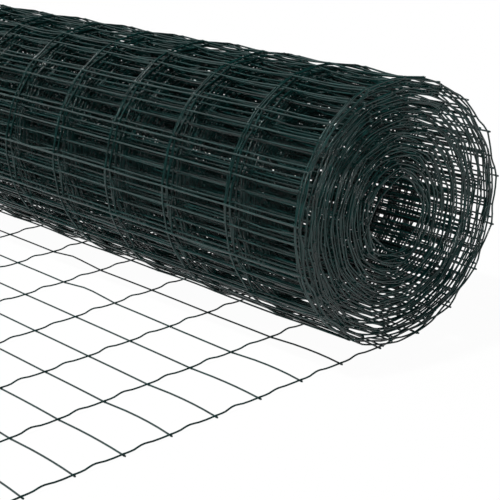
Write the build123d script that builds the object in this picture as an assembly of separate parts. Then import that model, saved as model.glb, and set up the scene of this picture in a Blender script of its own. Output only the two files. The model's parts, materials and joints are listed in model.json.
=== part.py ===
from build123d import *
from math import asin, cos, sin, tan
import os

# A roll of welded wire fencing lying on the floor, with its outer end drawn out flat in front of it.
# Straight cross wires lie parallel to the roll's axis, and line wires are welded on top of them and
# run along the fence and round the roll. X is along the roll's axis, the drawn-out end lies towards
# -Y, Z is up, and the origin is on the floor in the middle of the part's plan, in millimetres.

# Wire and mesh
wire_diameter = 1.8  # over the coating
weld_depth = 0.5  # how far a cross wire and a line wire sink into each other at a weld
line_spacing = 100.0  # from one line wire to the next, along the roll
cross_spacing = 50.0  # from one cross wire to the next, along the fence
mesh_columns = 10  # cells between the two outer line wires
cross_overhang = 2.0  # cross wire beyond the middle of each outer line wire

# Roll
bore_radius = 36.0
half_turns = 94
turn_pitch = 1.98  # from one nested turn to the next, which is less than the mesh's thickness
outer_gap = 0.9  # free space inside the outer turn, which lies loose on the others
groove_width = 0.8  # the space that marks each turn in the roll's ends
groove_depth = 6.0
plain_half_turns = 3  # innermost half turns with no groove, so that the bore keeps its wall

# Drawn-out end
rear_cross = 16.0  # the last cross wire on the floor, behind the roll's axis
flat_rows = 13  # cells that lie flat, from that cross wire to the front one
cut_length = 25.0  # line wire left in front of the front cross wire, where the fence was cut

mesh_thickness = 2 * wire_diameter - weld_depth
outer_pitch = mesh_thickness + outer_gap
outer_radius = bore_radius + (half_turns - 2) * turn_pitch / 2 + outer_pitch
fence_height = mesh_columns * line_spacing
roll_length = fence_height + wire_diameter
front_length = flat_rows * cross_spacing - rear_cross + cut_length
axis_y = (front_length - outer_radius) / 2

# The outer turn leaves the floor at a step, just behind the rear cross wire. The coil is made of
# half circles about centres on the line from the step through the axis: those on the step's rear side
# turn about the rear centre, and each one on its front side about a point half a turn's pitch higher.
step_angle = asin((rear_cross + wire_diameter) / outer_radius)
to_step = Vector(0, sin(step_angle), -cos(step_angle))
to_rear = Vector(0, cos(step_angle), sin(step_angle))
rear_centre = Vector(0, axis_y, outer_radius)
bore_centre = rear_centre - to_step * (turn_pitch / 4)


def half_turn(x, index, swell):
    """One half circle of the coil at x, counted from the outside, moved out by swell."""
    loose = min(index, 2)
    radius = outer_radius - loose * outer_pitch / 2 - (index - loose) * turn_pitch / 2 + swell
    rear = index % 2 == 0
    rise = outer_pitch if index == 1 else turn_pitch
    centre = Vector(x, 0, 0) + (rear_centre if rear else rear_centre - to_step * (rise / 2))
    turn = radius if rear else -radius
    return ThreePointArc(centre + to_step * turn, centre + to_rear * turn, centre - to_step * turn)


def coil_face(x):
    """The coil's whole section: its outer turn, closed by the step where the flat end leaves it."""
    arcs = [half_turn(x, 0, 0), half_turn(x, 1, 0)]
    step = Line(arcs[-1] @ 1, arcs[0] @ 0)
    return Face(Wire([*arcs, step]))


def groove_face(x):
    """The grooves round all the turns but the outer one, as one spiral band that opens at the step."""
    indices = range(2, half_turns - plain_half_turns)
    outer = [half_turn(x, i, groove_width) for i in indices]
    inner = [half_turn(x, i, 0) for i in indices]
    mouth = Line(inner[0] @ 0, outer[0] @ 0)
    end = Line(outer[-1] @ 1, inner[-1] @ 1)
    return Face(Wire([mouth, *outer, end, *inner]))


def rolled_mesh():
    """The wound turns as one solid with its bore, and the turns cut into both ends."""
    left = -roll_length / 2
    right = roll_length / 2
    coil = extrude(coil_face(left), roll_length, dir=(1, 0, 0))
    bore_start = Vector(left, 0, 0) + bore_centre
    bore_plane = Plane(origin=bore_start, x_dir=(0, 1, 0), z_dir=(1, 0, 0))
    bore = extrude(bore_plane * Circle(bore_radius), roll_length)
    left_groove = extrude(groove_face(left), groove_depth, dir=(1, 0, 0))
    right_groove = extrude(groove_face(right), groove_depth, dir=(-1, 0, 0))
    return coil - bore - left_groove - right_groove


def straight_wire(start, along, length):
    """A six-sided wire with a flat on top and underneath."""
    across = (0, 1, 0) if along[0] else (1, 0, 0)
    plane = Plane(origin=start, x_dir=across, z_dir=along)
    section = RegularPolygon(wire_diameter / 2, 6, major_radius=False)
    return extrude(plane * section, length)


def cross_wire(y):
    """A cross wire on the floor, parallel to the roll's axis."""
    length = fence_height + 2 * cross_overhang
    return straight_wire((-length / 2, y, wire_diameter / 2), (1, 0, 0), length)


def line_wire(x):
    """A flat line wire on top of the cross wires, from the coil's step to the cut end."""
    rear_end = (outer_radius - mesh_thickness) * tan(step_angle)
    start = (x, axis_y + rear_end, mesh_thickness - wire_diameter / 2)
    return straight_wire(start, (0, -1, 0), rear_end + front_length)


def unrolled_mesh():
    """The drawn-out end: cross wires and line wires, fused where they cross."""
    rows = [axis_y + rear_cross - i * cross_spacing for i in range(flat_rows + 1)]
    columns = [i * line_spacing - fence_height / 2 for i in range(mesh_columns + 1)]
    bars = [cross_wire(y) for y in rows] + [line_wire(x) for x in columns]
    return bars[0].fuse(*bars[1:])


if __name__ == "__main__":
    os.makedirs("parts", exist_ok=True)
    export_step(rolled_mesh(), "parts/rolled_mesh.step")
    export_step(unrolled_mesh(), "parts/unrolled_mesh.step")
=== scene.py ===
import bpy
import json
import numpy as np
from math import asin, cos, pi, radians, sin
from mathutils import Matrix, Vector

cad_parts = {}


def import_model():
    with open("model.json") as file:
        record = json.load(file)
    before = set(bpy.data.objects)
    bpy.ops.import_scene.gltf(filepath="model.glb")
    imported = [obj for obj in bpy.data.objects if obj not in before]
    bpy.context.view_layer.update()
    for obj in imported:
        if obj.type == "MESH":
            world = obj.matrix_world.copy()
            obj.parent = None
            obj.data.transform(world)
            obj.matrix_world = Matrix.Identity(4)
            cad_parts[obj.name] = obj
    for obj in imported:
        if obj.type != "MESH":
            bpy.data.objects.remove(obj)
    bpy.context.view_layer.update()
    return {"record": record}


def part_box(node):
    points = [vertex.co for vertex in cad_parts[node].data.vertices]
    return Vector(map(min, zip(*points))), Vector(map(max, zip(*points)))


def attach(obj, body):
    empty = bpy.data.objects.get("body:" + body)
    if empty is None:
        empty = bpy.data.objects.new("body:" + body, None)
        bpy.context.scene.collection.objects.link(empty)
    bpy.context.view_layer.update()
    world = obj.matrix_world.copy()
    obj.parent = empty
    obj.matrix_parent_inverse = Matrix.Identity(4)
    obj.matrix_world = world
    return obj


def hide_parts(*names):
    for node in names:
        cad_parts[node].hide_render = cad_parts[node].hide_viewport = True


# A roll of coated welded mesh with its outer end drawn out over the floor. Line wires run along the
# fence and round the roll. Cross wires are welded to them: under them on the floor, so outside them on
# the roll. Every cross wire has an index that grows along the fence, from the cut end on the floor to
# the middle of the roll, and every line wire one that grows from the near end of the roll to the far.
# A cell lies between two cross wires and a column between two line wires, and has the first one's index.

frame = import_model()
random = np.random.default_rng(11)

MM = 0.001

# Wire and mesh
WIRE_RADIUS = 0.9 * MM
WELD_STEP = 1.3 * MM  # between the axes of two wires at their weld
WELD_SWELL = 1.16  # the coating is thicker at a weld
LINE_SPACING = 100 * MM
CROSS_SPACING = 50 * MM
LINES = 11
COLUMNS = LINES - 1
OVERHANG = 2 * MM  # cross wire beyond the outer line wires, in the frame
STUBS = [1.3 * MM, 2.6 * MM]  # the same here, from the shortest to the longest
CUT_LENGTH = 25 * MM  # line wire beyond the last cross wire, at both ends of the fence
CUT_STATIONS = [3 * MM, CUT_LENGTH / 2, CUT_LENGTH]  # from that cross wire

# Places taken from the frame
flat_low, flat_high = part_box("unrolled_mesh")
bore = next(m for m in frame["record"]["mounts"] if m["name"] == "bore")
AXIS_Y = bore["pos_m"][1]
NEAR_X = flat_high[0] - OVERHANG
FRONT_Y = flat_low[1] + CUT_LENGTH  # the front cross wire
REAR_CROSS = 16 * MM  # the last cross wire on the floor, behind the roll's axis
FLAT_CROSSES = round((AXIS_Y + REAR_CROSS - FRONT_Y) / CROSS_SPACING) + 1
LAST_FLAT = FLAT_CROSSES - 1
ROLLED = FLAT_CROSSES  # the first cross wire that has left the floor

# The roll's winding, as seen from its near end. Turns are counted from the bottom, and go up behind,
# over the top and down in front. The outer and the inner turn are ovals, across and up.
OUTER_CENTRE = np.array([AXIS_Y + 1.5 * MM, 130 * MM])
OUTER_RADII = np.array([133.5, 130]) * MM
INNER_CENTRE = np.array([AXIS_Y - 2.5 * MM, 128 * MM])
INNER_RADII = np.array([35.5, 38.5]) * MM
BULGES = [(0.40, -3 * MM, 0.08), (0.56, 3.4 * MM, 0.08)]  # of the outer turns: place, size and width
TURN_GAPS = 46
LAST_TURN = TURN_GAPS + 0.68  # where the fence ends
CHORD_LOSS = 1.6 * MM  # what an outer cell's chord loses to the bends of its line wires

# The gaps that turns leave to the next, from the outside in, at some places round the roll. Only a
# gap's share of all those at its place counts. Behind, turns lie nested in groups, and elsewhere they
# spread more evenly.
NEST = 1.4
BOTTOM_GAPS = [3.4, NEST, NEST, 3.8, *[1.6, 1.9] * 21]
REAR_GAPS = [6, *[NEST] * 7, 7, *[NEST] * 4, 4, *[NEST] * 6, 2.6, 10, *[NEST] * 7, 5, 4, *[NEST] * 6,
             3.5, *[NEST] * 8]
UPPER_GAPS = [2, 1.6, 1.6, 1.6, 1.8, *[1.9, 2.1, 1.6, 2.2] * 10, 1.8]
TOP_GAPS = [2.6, 2.6, 2.4, 2.4, 2.4, *[1.7, 2.2, 1.6, 2.1] * 10, 1.8]
FRONT_GAPS = [2.8, 2.6, 2.4, 2.6, *[1.7, 2.4, 1.8, 2.2] * 10, 2, 2]
LOWER_GAPS = [1.8, 1.6, 1.7, 1.7, *[2.2, 1.8, 2.1, 1.9] * 10, 2, 2]
GAPS_ROUND = [(0.0, BOTTOM_GAPS), (0.25, REAR_GAPS), (0.4, UPPER_GAPS), (0.52, TOP_GAPS),
              (0.75, FRONT_GAPS), (0.9, LOWER_GAPS)]
WINDING_SAMPLES = 12000
WINDING_BLEND = 0.07  # turns before and after each point that smooth it

# Wires on the floor and in the outer turns have more faces and stations than those inside
OUTER_TURNS = 4
OUTER_SIDES = 8
INNER_SIDES = 6
OUTER_LINE_STATIONS = [0, 0.05, 0.13, 0.22, 0.3, 0.37, 0.44, 0.52, 0.62, 0.78, 0.95]
INNER_LINE_STATIONS = [0, 0.12, 0.3, 0.45, 0.62, 0.88]
OUTER_CROSS_STATIONS = [0, 0.03, 0.2, 0.36, 0.52, 0.7, 0.97]
INNER_CROSS_STATIONS = [0, 0.25, 0.5, 0.75]

# Bends of a line wire in a cell
CRIMP = 1.9 * MM
CRIMP_SIZES = [0.75, 1.2]  # of it, from the least to the most
CRIMP_PLACE = [0, 0.12, 0.17, 0.22, 0.34, 0.41, 0.48, 0.6, 0.72, 1]
CRIMP_SHAPE = [0, -0.06, -0.12, 0.05, 0.8, 1, 0.86, 0.3, 0.04, 0]  # away from the cross wires' side
ROUNDING = 0.65  # of the innermost turn: 0 is straight from weld to weld, 1 about a circle
PUSH_LIMIT = 6 * MM  # the most that a cross wire of the turn inside lifts it
PUSH_STEP = 1.95 * WIRE_RADIUS  # between the axes of the two
PUSH_MARGIN = 0.08  # of the cell, at each end, where a cross wire doesn't lift it
PUSH_SIZES = [0.9, 1.1]  # of a lift, from the least to the most
CRIMP_PRESSED = 3 * MM  # a lift that presses the crimp flat
CRIMP_LEFT = 0.15  # what even then is left of it
LINE_WAVE = 0.25 * MM  # sideways

# Bends of a cross wire in a column
ARCH = 0.25 * MM  # the usual bow, onwards along the fence
END_ARCH = 3.2 * MM  # the bow in the column at the near end
END_ARCH_SIZES = [0.3, 1.2]
ROLLED_ARCH = 0.3  # what is left of that bow on the roll
SAG = 0.5 * MM  # the bow towards the roll's middle
SAG_SIZES = [0.5, 0.8]  # of it, as mean and spread
CROWN_SAG = 2.8 * MM  # the same on top of the roll
CROWN_SAG_SIZES = [0.7, 1.2]
CROWN_PLACE = 0.47  # turns from the bottom
CROWN_WIDTH = 0.1
KINK = 5.5 * MM
KINK_SIZES = [0.4, 1.2]
KINK_PLACES = [0.25, 0.75]
KINK_SHARE = 0.05  # of all columns of all cross wires
# Cross wires back from the last one on the floor, column, place in it and height
SHOWN_KINKS = [(2, 4, 0.73, 6.5 * MM), (3, 3, 0.66, 6.0 * MM)]
PEAK_CUT = 0.07  # what a sharp bend loses to its rounded peak
PEAK_WIDTH = 0.06

# How far welds stray from their places. In a pair, the first value is how many cross wires there are
# to each free value, and the stray runs smoothly in between.
TELESCOPE = (10, 3 * MM)  # whole turns, along the axis
TELESCOPE_FADE = 0.6  # what the innermost turn loses of it
RADIAL_STRAY = (3, 0.4 * MM)
ALONG_STRAY = (2, 0.6 * MM)
SIDE_STRAY = (4, 0.5 * MM)  # each line wire by itself, along the axis
WAVE_WEIGHT = 0.4  # of a stray that comes and goes along the roll
WAVE_TURN = 9  # radians of it from end to end
CORNER_STRAY = 0.35 * MM  # each weld by itself, along the radius
END_CORNER_STRAY = 1.1 * MM  # of those at the near end
CORNER_FADE = 0.85  # what the innermost turn loses of both
ALONG_CORNER_STRAY = 0.18 * MM  # each weld by itself, along the fence
TURN_SIDE_STEP = 1.5 * MM  # line wires of neighbouring turns lie to one side and the other
SIDE_STEP_TURN = 0.4  # where they change sides
SETTLING = 0.25  # turns over which the strays of the roll set in

# Coating
COATING_DARK = (0.0015, 0.015, 0.014, 1)
COATING_LIGHT = (0.005, 0.040, 0.037, 1)
COATING_SPECULAR = 0.45
COATING_ROUGHNESS = [0.12, 0.26]
MOTTLE_SCALE = 60
GRAIN_SCALE = 1800
GRAIN_STRENGTH = 0.15
GRAIN_DEPTH = 0.2 * MM

# Floor and light
FLOOR_HALF = 15.0
FLOOR_BASE = 0.8
FLOOR_SHADOW = 0.03  # how much of the shadow shows on the white floor
AMBIENT = 0.02
# Name, where it comes from, degrees across and strength
SUNS = [
    ("key", (-0.6, -0.7, 2.1), 3, 3.4),
    ("side", (-1.7, -0.3, 1.6), 40, 0.6),
    ("fill", (1.4, -1.3, 1.0), 2, 0.9),
]

# Camera, as fitted to the photograph's 500 x 500 frame
IMAGE_SIZE = 500
FOCAL_PIXELS = 1479
SENSOR = 36.0
CAMERA_AZIMUTH = 51.8
CAMERA_ELEVATION = 19.1
CAMERA_ROLL = -4.3
CAMERA_FROM_CORNER = np.array([957, -901, 564]) * MM  # from the first flat crossing by the roll


def smoothed(values, width):
    """The same run of values, each one blended with those less than width places off."""
    window = np.hanning(2 * width + 1)
    return np.convolve(np.pad(values, width, mode="edge"), window / window.sum(), mode="valid")


def winding_table():
    """Numbers of turns, and how far in from the outside, 0 to 1, the fence lies at each."""
    places = np.concatenate([np.arange(TURN_GAPS + 1) + start for start, _ in GAPS_ROUND])
    shares = np.concatenate([np.cumsum([0, *gaps]) / sum(gaps) for _, gaps in GAPS_ROUND])
    order = np.argsort(places)
    fine = np.linspace(-1, TURN_GAPS + 2, WINDING_SAMPLES)
    raw = np.interp(fine, places[order], shares[order])
    return fine, smoothed(raw, int(WINDING_BLEND / (fine[1] - fine[0])))


WINDING = winding_table()


def share_in(turn):
    """How far in from the outside, 0 to 1, the fence lies after that many turns."""
    return np.interp(turn, *WINDING)


def winding_point(turn):
    """Where the fence's line wires are, in Y and Z, after that many turns."""
    share = share_in(turn)
    centre = OUTER_CENTRE + (INNER_CENTRE - OUTER_CENTRE) * share
    radii = OUTER_RADII + (INNER_RADII - OUTER_RADII) * share
    for place, size, width in BULGES:
        radii = radii + size * (1 - share) * np.exp(-((turn % 1 - place) / width) ** 2)
    angle = 2 * pi * turn
    return centre + radii * np.array([sin(angle), -cos(angle)])


def wind():
    """The turn count of every cross wire on the roll, from the last one on the floor."""
    counts = [asin(REAR_CROSS / OUTER_RADII[0]) / (2 * pi)]
    while counts[-1] < LAST_TURN:
        here = winding_point(counts[-1])
        chord = CROSS_SPACING - CHORD_LOSS * (1 - share_in(counts[-1]))
        step = 0.1  # a guess, which each round brings closer
        for _ in range(6):
            step *= chord / np.linalg.norm(winding_point(counts[-1] + step) - here)
        counts.append(counts[-1] + step)
    return np.array(counts)


def unit(vectors):
    """The same directions, each of length 1."""
    return vectors / np.linalg.norm(vectors, axis=-1, keepdims=True)


def fence_line():
    """Y and Z of the line wires at every cross wire, and the direction along the fence there."""
    floor_height = WIRE_RADIUS + WELD_STEP
    rear_y = AXIS_Y + REAR_CROSS
    flat = [(rear_y - i * CROSS_SPACING, floor_height) for i in reversed(range(FLAT_CROSSES))]
    rolled = [winding_point(turn) for turn in rolled_turns[1:]]
    line = np.array([*flat, *rolled])
    direction = np.gradient(line, axis=0)
    direction[:LAST_FLAT] = (1, 0)
    return line, unit(direction)


def outward_of(direction):
    """The fence's outer side, a quarter turn from its direction."""
    return np.stack([direction[..., 1], -direction[..., 0]], axis=-1)


rolled_turns = wind()

# turn_count, and all that is worked out from it, has one value for each cross wire
turn_count = np.concatenate([np.zeros(LAST_FLAT), rolled_turns])
CROSSES = len(turn_count)
INNER_START = LAST_FLAT + int(np.argmax(rolled_turns > OUTER_TURNS))
MIDDLE_END = (INNER_START + CROSSES) // 2
points, along = fence_line()
outward = outward_of(along)
inner_share = share_in(turn_count)
settled = np.clip(turn_count / SETTLING, 0, 1)


def wander(spacing, size):
    """A smooth random value for each cross wire, of about that size."""
    knots = max(int(CROSSES / spacing), 2) + 1
    values = random.normal(0, size, knots)
    coarse = np.interp(np.linspace(0, 1, CROSSES), np.linspace(0, 1, knots), values)
    return smoothed(coarse, max(CROSSES // (2 * knots), 1))


def weld_places():
    """X, Y and Z of every line wire's axis at every cross wire, as [line, cross]."""
    telescope = wander(*TELESCOPE) * settled * (1 - TELESCOPE_FADE * inner_share)
    side = np.where(np.floor(turn_count - SIDE_STEP_TURN) % 2 == 0, 1, -1)
    side_step = side * TURN_SIDE_STEP * settled
    places = np.zeros((LINES, CROSSES, 3))
    radial_strays = np.array([wander(*RADIAL_STRAY) for _ in range(4)])
    along_strays = np.array([wander(*ALONG_STRAY) for _ in range(4)])
    for line in range(LINES):
        far = line / COLUMNS
        near = 1 - far
        weights = np.array([near ** 2, 2 * far * near, far ** 2, WAVE_WEIGHT * sin(WAVE_TURN * far)])
        corner = random.normal(0, CORNER_STRAY if line else END_CORNER_STRAY, CROSSES)
        radial = weights @ radial_strays + corner * (1 - CORNER_FADE * inner_share)
        tangential = weights @ along_strays + random.normal(0, ALONG_CORNER_STRAY, CROSSES)
        stray = outward * (radial * settled)[:, None] + along * tangential[:, None]
        places[line, :, 0] = NEAR_X - line * LINE_SPACING + telescope + side_step + wander(*SIDE_STRAY)
        places[line, :, 1:] = points + stray
    return places


def pushes():
    """Where in each cell, 0 to 1, a cross wire of the turn inside lies under the line wires, and how
    far it lifts them off the straight line from weld to weld."""
    place = np.full(CROSSES - 1, 0.5)
    lift = np.zeros(CROSSES - 1)
    crosses = points + outward * WELD_STEP
    for cell in range(LAST_FLAT, CROSSES - 1):
        chord = points[cell + 1] - points[cell]
        normal = outward_of(unit(chord))
        span = turn_count[cell + 1] - turn_count[cell]
        reach = (turn_count - 1 - turn_count[cell]) / span
        for inner in np.flatnonzero((reach > PUSH_MARGIN) & (reach < 1 - PUSH_MARGIN)):
            above = float((crosses[inner] - points[cell] - chord * reach[inner]) @ normal)
            needed = above + PUSH_STEP
            if needed > lift[cell]:
                lift[cell] = min(needed, PUSH_LIMIT)
                place[cell] = reach[inner]
    return place, lift


welds = weld_places()
push_place, push_lift = pushes()
X_AXIS = np.array([1.0, 0, 0])


def bow(t):
    """An even bend, 0 at both ends and 1 in the middle."""
    return 4 * t * (1 - t)


def tent(t, top):
    """A sharp bend, about 0 at both ends and nearly 1 at its top, with a rounded peak."""
    sharp = np.minimum(t / top, (1 - t) / (1 - top))
    return sharp - PEAK_CUT * np.exp(-((t - top) / PEAK_WIDTH) ** 2)


def swells(t, count):
    """The radii of a wire at those stations of each of count bays, thicker at its welds."""
    return np.append(np.tile(np.where(t == 0, WELD_SWELL, 1.0), count), WELD_SWELL) * WIRE_RADIUS


def line_wire(line, first, last):
    """The path and radii of one line wire from one cross wire to another."""
    t = np.array(INNER_LINE_STATIONS if first >= INNER_START else OUTER_LINE_STATIONS)
    cells = np.arange(first, last)
    start = welds[line, cells]
    end = welds[line, cells + 1]
    normal = outward_of(unit(end[:, 1:] - start[:, 1:]))
    radius = np.linalg.norm(start[:, 1:] - OUTER_CENTRE, axis=1)
    rounding = np.where(cells >= LAST_FLAT, ROUNDING * inner_share[cells], 0)
    round_out = rounding * CROSS_SPACING ** 2 / (8 * radius)
    lift = push_lift[cells] * random.uniform(*PUSH_SIZES, len(cells))
    pressed = np.clip(1 - lift / CRIMP_PRESSED, CRIMP_LEFT, 1)
    crimp = CRIMP * random.uniform(*CRIMP_SIZES, len(cells)) * pressed
    wave = random.normal(0, LINE_WAVE, len(cells))
    push_out = np.maximum(lift - round_out, 0)
    out = round_out[:, None] * bow(t)
    out = out + push_out[:, None] * tent(t[None], push_place[cells][:, None])
    out = out - crimp[:, None] * np.interp(t, CRIMP_PLACE, CRIMP_SHAPE)
    path = start[:, None] + (end - start)[:, None] * t[None, :, None]
    path[:, :, 1:] += normal[:, None] * out[..., None]
    path[:, :, 0] += wave[:, None] * np.sin(2 * pi * t)
    return np.concatenate([path.reshape(-1, 3), end[-1:]]), swells(t, len(cells))


def with_cut_end(path, radii, at_start):
    """The same with the length of wire left beyond the last cross wire."""
    last, before = (path[0], path[1]) if at_start else (path[-1], path[-2])
    beyond = last + unit(last - before) * np.array(CUT_STATIONS)[:, None]
    thin = np.full(len(beyond), WIRE_RADIUS)
    if at_start:
        return np.concatenate([beyond[::-1], path]), np.concatenate([thin, radii])
    return np.concatenate([path, beyond]), np.concatenate([radii, thin])


def cross_wire(cross):
    """The path and radii of one cross wire, from its near end to its far end."""
    t = np.array(INNER_CROSS_STATIONS if cross >= INNER_START else OUTER_CROSS_STATIONS)
    at = welds[:, cross].copy()
    at[:, 1:] += outward[cross] * WELD_STEP
    on_roll = cross >= ROLLED
    onward = np.array([0, *along[cross]])
    inward = np.array([0, *-outward[cross]])
    arch = np.abs(random.normal(0, ARCH, COLUMNS))
    arch[0] = random.uniform(*END_ARCH_SIZES) * (ROLLED_ARCH if on_roll else 1) * END_ARCH
    crown = np.exp(-((turn_count[cross] % 1 - CROWN_PLACE) / CROWN_WIDTH) ** 2)
    sag = random.normal(*SAG_SIZES, COLUMNS) * SAG
    sag = (sag + random.uniform(*CROWN_SAG_SIZES) * CROWN_SAG * crown) * on_roll
    kinked = random.random(COLUMNS) < KINK_SHARE
    kink = random.uniform(*KINK_SIZES, COLUMNS) * KINK * kinked
    top = random.uniform(*KINK_PLACES, COLUMNS)
    for back, column, place, height in SHOWN_KINKS:
        if cross == LAST_FLAT - back:
            kink[column] = height
            top[column] = place
    path = []
    for column in range(COLUMNS):
        straight = at[column] + (at[column + 1] - at[column]) * t[:, None]
        bend = arch[column] * bow(t) + kink[column] * tent(t, top[column])
        drop = sag[column] * bow(t)
        path.append(straight + onward * bend[:, None] + inward * drop[:, None])
    near_stub, far_stub = random.uniform(*STUBS, 2)[:, None, None] * X_AXIS
    path = np.concatenate([at[:1] + near_stub, *path, at[-1:], at[-1:] - far_stub])
    radii = np.concatenate([[WIRE_RADIUS], swells(t, COLUMNS), [WIRE_RADIUS]])
    return path, radii


def tube(path, radii, side, sides):
    """The rings of points round a wire along path, as [ring, side, xyz]."""
    tangent = unit(np.gradient(path, axis=0))
    across = unit(side - (tangent @ side)[:, None] * tangent)
    other = np.cross(tangent, across)
    angle = np.arange(sides) * 2 * pi / sides
    ring = np.cos(angle)[None, :, None] * across[:, None] + np.sin(angle)[None, :, None] * other[:, None]
    return path[:, None] + radii[:, None, None] * ring


def wire_mesh(name, tubes):
    """One piece of closed tubes, each of quads with a flat face at both ends."""
    vertices = np.concatenate([rings.reshape(-1, 3) for rings in tubes])
    corners = []
    sizes = []
    start = 0
    for rings in tubes:
        count, sides, _ = rings.shape
        column = np.arange(sides)
        following = (column + 1) % sides
        base = start + np.arange(count - 1)[:, None] * sides
        quads = [base + column, base + following, base + sides + following, base + sides + column]
        corners += [np.stack(quads, axis=-1).ravel(), start + column[::-1], base[-1] + sides + column]
        sizes += [np.full((count - 1) * sides, 4), [sides, sides]]
        start += count * sides
    corners = np.concatenate(corners)
    sizes = np.concatenate(sizes)
    starts = np.concatenate([[0], np.cumsum(sizes)[:-1]])
    mesh = bpy.data.meshes.new(name)
    mesh.vertices.add(len(vertices))
    mesh.vertices.foreach_set("co", vertices.ravel())
    mesh.loops.add(len(corners))
    mesh.loops.foreach_set("vertex_index", corners)
    mesh.polygons.add(len(sizes))
    mesh.polygons.foreach_set("loop_start", starts)
    mesh.polygons.foreach_set("loop_total", sizes)
    mesh.polygons.foreach_set("use_smooth", sizes == 4)
    mesh.update()
    mesh.validate()
    piece = bpy.data.objects.new(name, mesh)
    bpy.context.scene.collection.objects.link(piece)
    return piece


def rolled_line_wire(line):
    """One line wire round the roll: its outer turns, then its inner ones with fewer faces."""
    outer = line_wire(line, LAST_FLAT, INNER_START)
    inner = with_cut_end(*line_wire(line, INNER_START, CROSSES - 1), at_start=False)
    tubes = [tube(*outer, X_AXIS, OUTER_SIDES), tube(*inner, X_AXIS, INNER_SIDES)]
    return wire_mesh(f"rolled_line_wire_{line:02d}", tubes)


def flat_line_wires():
    """All line wires on the floor, from their cut ends to the last cross wire there."""
    paths = [with_cut_end(*line_wire(line, 0, LAST_FLAT), at_start=True) for line in range(LINES)]
    return wire_mesh("flat_line_wires", [tube(*path, X_AXIS, OUTER_SIDES) for path in paths])


def cross_wires(name, first, stop, sides):
    """The cross wires from first up to stop."""
    tubes = [tube(*cross_wire(i), np.array([0, *outward[i]]), sides) for i in range(first, stop)]
    return wire_mesh(name, tubes)


def coated_wire():
    """Dark green plastic coating with a soft sheen, a faint mottle and a fine grain."""
    material = bpy.data.materials.new("coated_wire")
    material.use_nodes = True
    nodes = material.node_tree.nodes
    links = material.node_tree.links
    shader = nodes["Principled BSDF"]
    shader.inputs["Specular IOR Level"].default_value = COATING_SPECULAR
    place = nodes.new("ShaderNodeTexCoord")
    mottle = nodes.new("ShaderNodeTexNoise")
    mottle.inputs["Scale"].default_value = MOTTLE_SCALE
    mottle.inputs["Detail"].default_value = 4
    links.new(place.outputs["Object"], mottle.inputs["Vector"])
    ramp = nodes.new("ShaderNodeValToRGB")
    ramp.color_ramp.elements[0].position = 0.3
    ramp.color_ramp.elements[0].color = COATING_DARK
    ramp.color_ramp.elements[1].position = 0.75
    ramp.color_ramp.elements[1].color = COATING_LIGHT
    links.new(mottle.outputs["Fac"], ramp.inputs["Fac"])
    links.new(ramp.outputs["Color"], shader.inputs["Base Color"])
    rough = nodes.new("ShaderNodeMapRange")
    rough.inputs["To Min"].default_value = COATING_ROUGHNESS[0]
    rough.inputs["To Max"].default_value = COATING_ROUGHNESS[1]
    links.new(mottle.outputs["Fac"], rough.inputs["Value"])
    links.new(rough.outputs["Result"], shader.inputs["Roughness"])
    grain = nodes.new("ShaderNodeTexNoise")
    grain.inputs["Scale"].default_value = GRAIN_SCALE
    links.new(place.outputs["Object"], grain.inputs["Vector"])
    bump = nodes.new("ShaderNodeBump")
    bump.inputs["Strength"].default_value = GRAIN_STRENGTH
    bump.inputs["Distance"].default_value = GRAIN_DEPTH
    links.new(grain.outputs["Fac"], bump.inputs["Height"])
    links.new(bump.outputs["Normal"], shader.inputs["Normal"])
    return material


def seen_ray(nodes, links):
    """1 for a ray from the camera, straight or by a glossy or clear surface, and 0 for others."""
    rays = nodes.new("ShaderNodeLightPath")
    seen = rays.outputs["Is Camera Ray"]
    for kind in ("Is Glossy Ray", "Is Transmission Ray"):
        either = nodes.new("ShaderNodeMath")
        either.operation = "MAXIMUM"
        links.new(seen, either.inputs[0])
        links.new(rays.outputs[kind], either.inputs[1])
        seen = either.outputs[0]
    return seen


def white_floor():
    """A white floor that reaches past the view and keeps a faint shadow."""
    mesh = bpy.data.meshes.new("floor")
    corners = [(x * FLOOR_HALF, y * FLOOR_HALF, 0) for x, y in [(-1, -1), (1, -1), (1, 1), (-1, 1)]]
    mesh.from_pydata(corners, [], [(0, 1, 2, 3)])
    floor = bpy.data.objects.new("floor", mesh)
    bpy.context.scene.collection.objects.link(floor)
    material = bpy.data.materials.new("floor")
    material.use_nodes = True
    nodes = material.node_tree.nodes
    links = material.node_tree.links
    shader = nodes["Principled BSDF"]
    shader.inputs["Base Color"].default_value = (FLOOR_BASE, FLOOR_BASE, FLOOR_BASE, 1)
    shader.inputs["Roughness"].default_value = 0.9
    shader.inputs["Specular IOR Level"].default_value = 0.1
    glow = nodes.new("ShaderNodeEmission")
    glow.inputs["Strength"].default_value = 1.0
    share = nodes.new("ShaderNodeMath")
    share.operation = "MULTIPLY"
    share.inputs[1].default_value = 1 - FLOOR_SHADOW
    mix = nodes.new("ShaderNodeMixShader")
    links.new(seen_ray(nodes, links), share.inputs[0])
    links.new(share.outputs[0], mix.inputs["Fac"])
    links.new(shader.outputs[0], mix.inputs[1])
    links.new(glow.outputs[0], mix.inputs[2])
    links.new(mix.outputs[0], nodes["Material Output"].inputs["Surface"])
    mesh.materials.append(material)


def world():
    """Dim light from all around. In the photograph's view the floor is all that lies behind the roll."""
    studio = bpy.data.worlds.new("studio")
    studio.use_nodes = True
    light = studio.node_tree.nodes["Background"]
    light.inputs["Color"].default_value = (1, 1, 1, 1)
    light.inputs["Strength"].default_value = AMBIENT
    bpy.context.scene.world = studio


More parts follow.
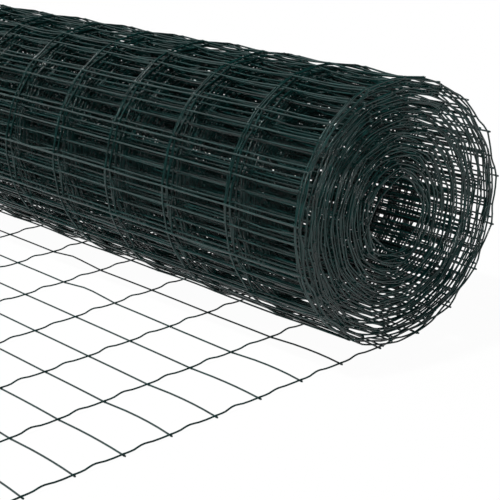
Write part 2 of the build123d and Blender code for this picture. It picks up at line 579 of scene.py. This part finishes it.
def sun(name, place, width, strength):
    """Sunlight from the direction of place, width degrees across."""
    data = bpy.data.lights.new(name, "SUN")
    data.angle = radians(width)
    data.energy = strength
    sun_object = bpy.data.objects.new(name, data)
    sun_object.location = place
    sun_object.rotation_euler = (-Vector(place)).to_track_quat("-Z", "Y").to_euler()
    bpy.context.scene.collection.objects.link(sun_object)


def camera():
    """The camera at the photograph's place and angle."""
    azimuth, elevation, roll = (radians(v) for v in (CAMERA_AZIMUTH, CAMERA_ELEVATION, CAMERA_ROLL))
    back = Vector((sin(azimuth) * cos(elevation), -cos(azimuth) * cos(elevation), sin(elevation)))
    right = Vector((cos(azimuth), sin(azimuth), 0))
    up = back.cross(right)
    level = Matrix((right, up, back)).transposed()
    data = bpy.data.cameras.new("camera")
    data.sensor_width = SENSOR
    data.lens = FOCAL_PIXELS / IMAGE_SIZE * SENSOR
    camera_object = bpy.data.objects.new("camera", data)
    corner = np.array([NEAR_X, AXIS_Y + REAR_CROSS - CROSS_SPACING, 0])
    matrix = (level @ Matrix.Rotation(roll, 3, "Z")).to_4x4()
    matrix.translation = Vector(corner + CAMERA_FROM_CORNER)
    camera_object.matrix_world = matrix
    bpy.context.scene.collection.objects.link(camera_object)
    bpy.context.scene.camera = camera_object


wire_material = coated_wire()
pieces = [(rolled_line_wire(line), "rolled_mesh") for line in range(LINES)]
pieces += [
    (cross_wires("outer_cross_wires", ROLLED, INNER_START, OUTER_SIDES), "rolled_mesh"),
    (cross_wires("middle_cross_wires", INNER_START, MIDDLE_END, INNER_SIDES), "rolled_mesh"),
    (cross_wires("inner_cross_wires", MIDDLE_END, CROSSES, INNER_SIDES), "rolled_mesh"),
    (flat_line_wires(), "unrolled_mesh"),
    (cross_wires("flat_cross_wires", 0, ROLLED, OUTER_SIDES), "unrolled_mesh"),
]
for piece, node in pieces:
    piece.data.materials.append(wire_material)
    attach(piece, "root")
    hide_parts(node)

white_floor()
world()
for name, place, width, strength in SUNS:
    sun(name, place, width, strength)
camera()
bpy.context.scene.view_settings.view_transform = "Standard"
